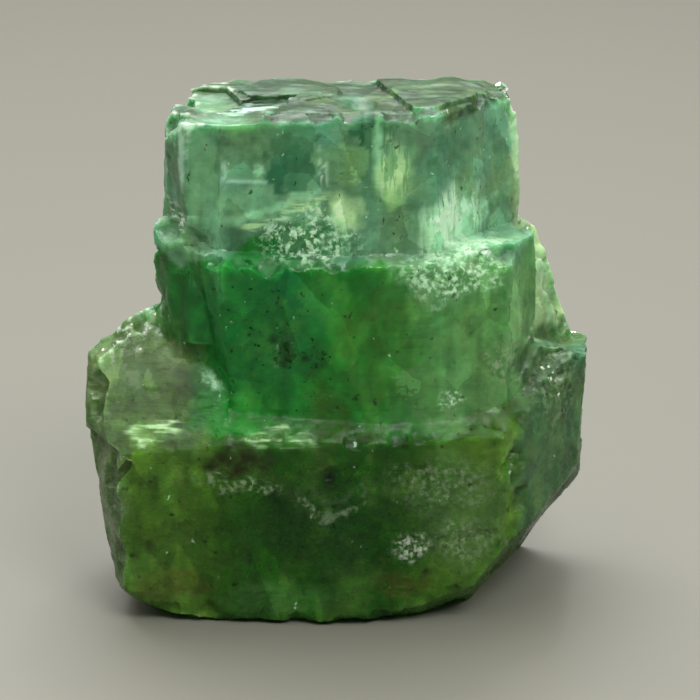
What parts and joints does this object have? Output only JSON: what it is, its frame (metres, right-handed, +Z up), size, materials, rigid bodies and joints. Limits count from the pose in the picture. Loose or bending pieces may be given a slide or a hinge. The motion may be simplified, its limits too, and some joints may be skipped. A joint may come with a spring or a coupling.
{
  "type": "raw emerald crystal",
  "caption": "Raw green crystal in stepped blocks, widest near the foot, with a sloping left shoulder, chipped edges and a flat base.",
  "frame": {"origin": "on the plane the stone rests on, under the middle of its bounding box", "axes": "+Z up the stacked blocks from the flat base, +X to the right as seen from the front, -Y out of the broad front faces"},
  "size_m": [0.0144, 0.0088, 0.0148],
  "materials": {
    "emerald": "clear green stone, glossy on its crystal faces and frosted on its broken edges"
  },
  "bodies": {
    "root": {"emerald_crystal": "emerald"}
  },
  "joints": []
}
